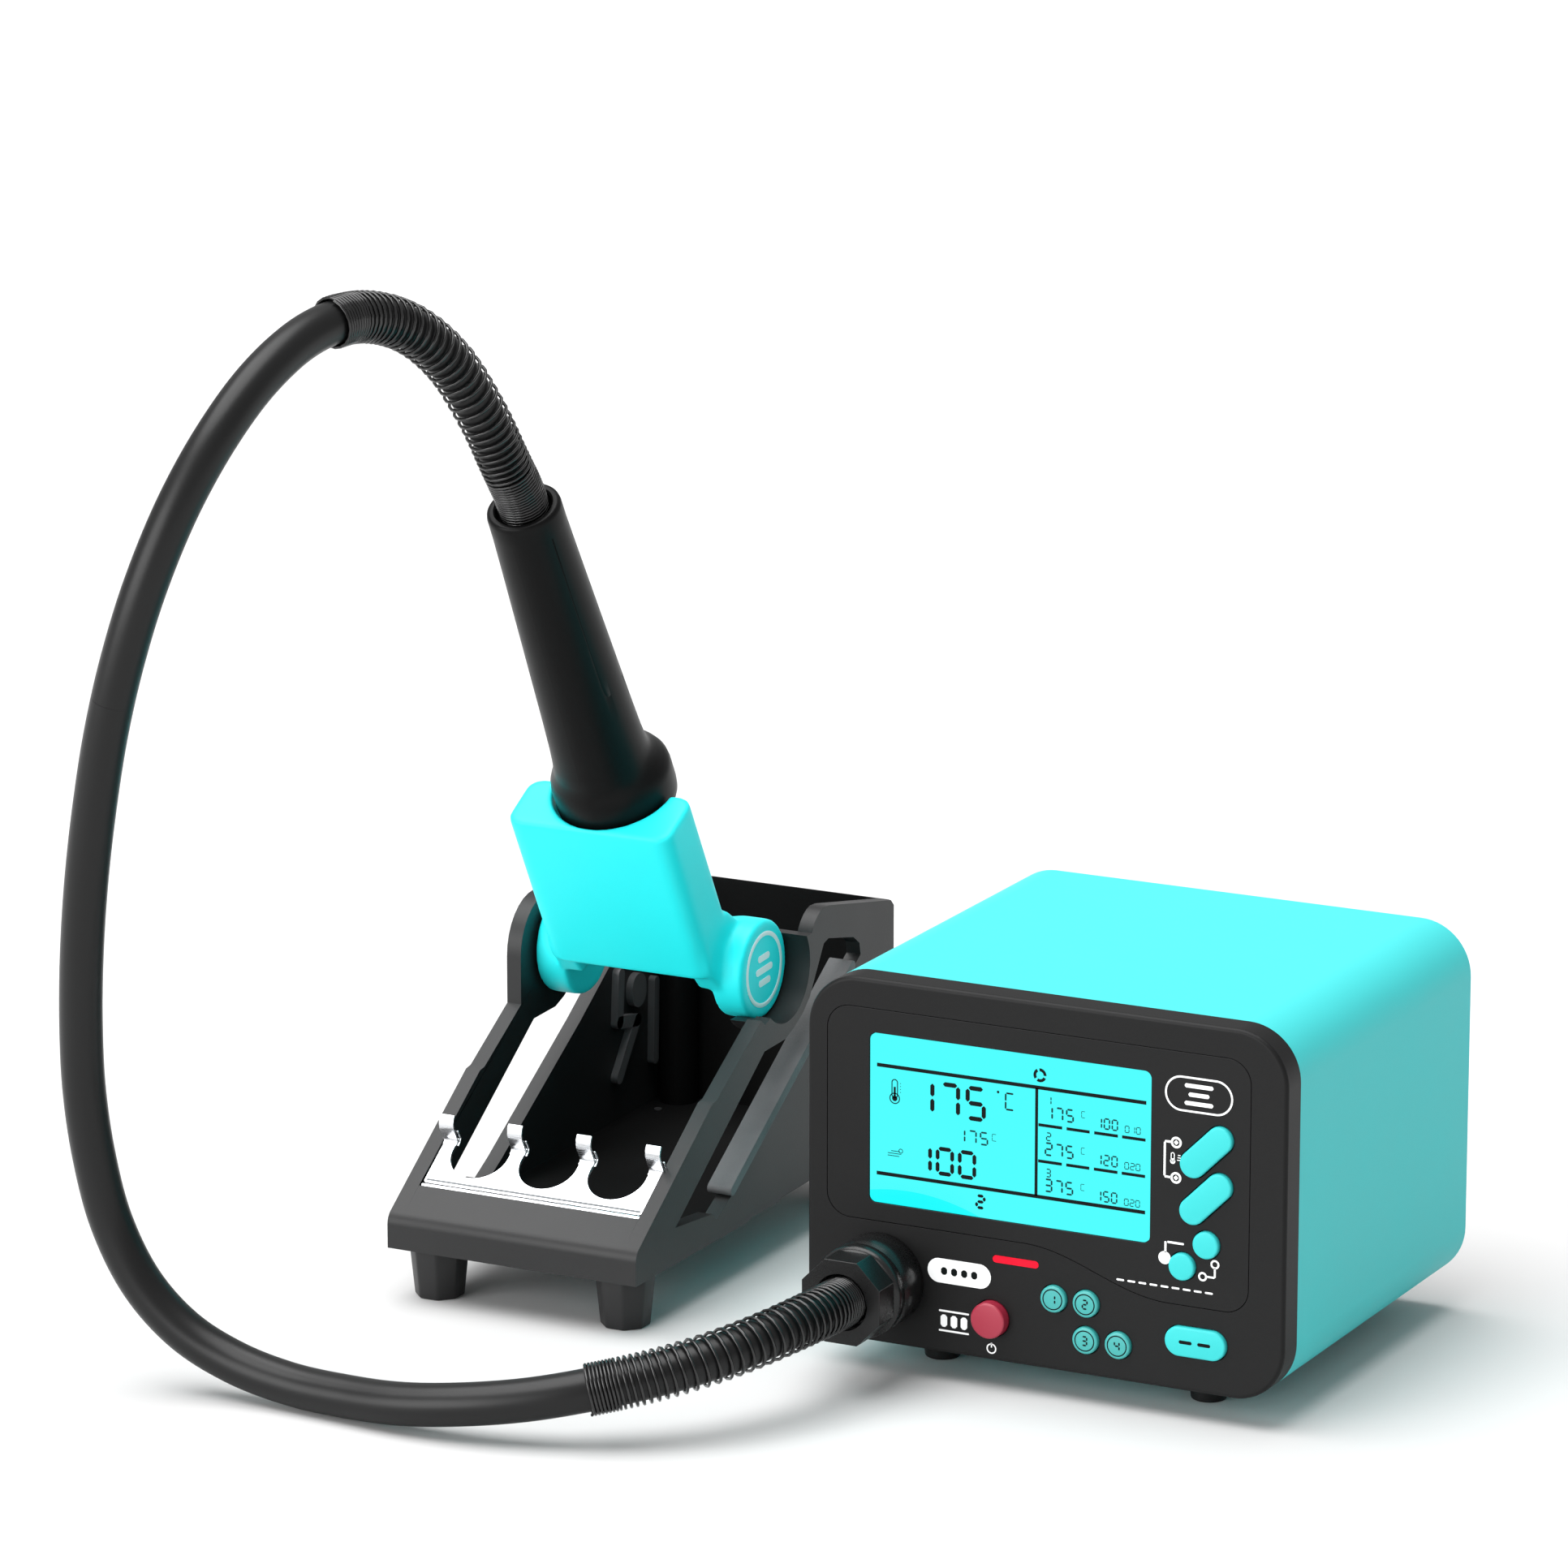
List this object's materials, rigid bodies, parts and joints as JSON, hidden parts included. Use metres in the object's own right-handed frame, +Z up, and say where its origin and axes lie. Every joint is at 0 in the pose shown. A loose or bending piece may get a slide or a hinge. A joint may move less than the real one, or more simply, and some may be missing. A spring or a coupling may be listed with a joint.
{
  "type": "hot-air rework station",
  "caption": "Hot-air rework station: cyan control box with display and keys, black air hose, and a hot-air handle resting in a tilting cradle on a dark stand with a nozzle plate.",
  "frame": {"origin": "centre of the rigid parts' bounding box, at floor level", "axes": "+X to the right seen from the front, -Y towards the user, +Z up"},
  "size_m": [0.4109, 0.378, 0.3946],
  "materials": {
    "cyan_paint": "satin",
    "black_plastic": "matt, fine grain",
    "dark_plastic": "satin, fine grain",
    "cyan_plastic": "satin",
    "cyan_key": "gloss",
    "red_key": "gloss",
    "red_window": "gloss, lit",
    "display": "gloss, lit",
    "board": "satin",
    "rubber": "matt",
    "hose_rubber": "satin",
    "spring_wire": "gloss black",
    "steel": "brushed",
    "zinc": "gloss",
    "brass": "satin",
    "aluminium": "satin",
    "ceramic": "matt",
    "copper_tape": "satin",
    "silicone": "matt"
  },
  "bodies": {
    "base": {"shell_cover": "cyan_paint", "front_bezel": "black_plastic", "face_plate": "dark_plastic", "display_lens": "display", "display_module": "board", "led_window": "red_window", "control_board": "board", "key_switches": "dark_plastic", "gland_body": "black_plastic", "gland_nut": "dark_plastic", "rear_panel": "black_plastic", "mains_inlet": "black_plastic", "fuse_holder": "black_plastic", "intake_grille": "black_plastic", "base_plate": "zinc", "board_pillars": "brass", "power_board": "board", "transformer": "copper_tape", "capacitors": "dark_plastic", "heat_sink": "aluminium", "blower_housing": "dark_plastic", "blower_motor": "aluminium", "air_duct": "silicone", "case_feet": "rubber", "foot_screws": "zinc", "rear_screws": "zinc", "stand_frame": "dark_plastic", "slot_rail": "dark_plastic", "stand_feet": "dark_plastic", "stand_screws": "zinc", "nozzle_plate": "steel", "air_hose": "hose_rubber", "hose_spring_station": "spring_wire", "hose_spring_handle": "spring_wire"},
    "cradle_body": {"cradle": "cyan_plastic", "pivot_pin": "steel", "friction_washer": "rubber", "cradle_magnet": "zinc"},
    "handle": {"handle_shell_left": "black_plastic", "handle_shell_right": "black_plastic", "handle_head": "black_plastic", "tail_collar": "black_plastic", "reed_board": "board", "heater_core": "ceramic", "barrel": "steel", "nozzle": "steel"},
    "rotor": {"blower_shaft": "steel", "blower_impeller": "dark_plastic"},
    "power_key": {"power_button": "red_key"},
    "temp_up_key": {"temp_up_button": "cyan_key"},
    "temp_down_key": {"temp_down_button": "cyan_key"},
    "air_up_key": {"air_up_button": "cyan_key"},
    "air_down_key": {"air_down_button": "cyan_key"},
    "preset_1_key": {"preset_1_button": "cyan_key"},
    "preset_2_key": {"preset_2_button": "cyan_key"},
    "preset_3_key": {"preset_3_button": "cyan_key"},
    "preset_4_key": {"preset_4_button": "cyan_key"},
    "set_key": {"set_button": "cyan_key"}
  },
  "joints": [
    {"name": "cradle_tilt", "type": "hinge", "parent": "base", "child": "cradle_body", "pos_m": [-0.127, 0.0269, 0.1098], "axis": [1, 0, 0], "range_deg": [-20, 15], "deforming": ["air_hose", "hose_spring_handle"]},
    {"name": "handle_lift", "type": "slide", "parent": "cradle_body", "child": "handle", "axis": [0, -0.4802, 0.8771], "range_m": [0, 0.085], "deforming": ["air_hose", "hose_spring_handle"]},
    {"name": "impeller_spin", "type": "hinge", "parent": "base", "child": "rotor", "pos_m": [0.0508, 0.0199, 0.04], "axis": [0, 0, 1], "continuous": true},
    {"name": "power_press", "type": "slide", "parent": "base", "child": "power_key", "axis": [0, 1, 0], "range_m": [0, 0.001], "stiffness_N_per_m": 300, "springref_m": -0.001},
    {"name": "temp_up_press", "type": "slide", "parent": "base", "child": "temp_up_key", "axis": [0, 1, 0], "range_m": [0, 0.001], "stiffness_N_per_m": 300, "springref_m": -0.001},
    {"name": "temp_down_press", "type": "slide", "parent": "base", "child": "temp_down_key", "axis": [0, 1, 0], "range_m": [0, 0.001], "stiffness_N_per_m": 300, "springref_m": -0.001},
    {"name": "air_up_press", "type": "slide", "parent": "base", "child": "air_up_key", "axis": [0, 1, 0], "range_m": [0, 0.001], "stiffness_N_per_m": 300, "springref_m": -0.001},
    {"name": "air_down_press", "type": "slide", "parent": "base", "child": "air_down_key", "axis": [0, 1, 0], "range_m": [0, 0.001], "stiffness_N_per_m": 300, "springref_m": -0.001},
    {"name": "preset_1_press", "type": "slide", "parent": "base", "child": "preset_1_key", "axis": [0, 1, 0], "range_m": [0, 0.001], "stiffness_N_per_m": 300, "springref_m": -0.001},
    {"name": "preset_2_press", "type": "slide", "parent": "base", "child": "preset_2_key", "axis": [0, 1, 0], "range_m": [0, 0.001], "stiffness_N_per_m": 300, "springref_m": -0.001},
    {"name": "preset_3_press", "type": "slide", "parent": "base", "child": "preset_3_key", "axis": [0, 1, 0], "range_m": [0, 0.001], "stiffness_N_per_m": 300, "springref_m": -0.001},
    {"name": "preset_4_press", "type": "slide", "parent": "base", "child": "preset_4_key", "axis": [0, 1, 0], "range_m": [0, 0.001], "stiffness_N_per_m": 300, "springref_m": -0.001},
    {"name": "set_press", "type": "slide", "parent": "base", "child": "set_key", "axis": [0, 1, 0], "range_m": [0, 0.001], "stiffness_N_per_m": 300, "springref_m": -0.001}
  ]
}
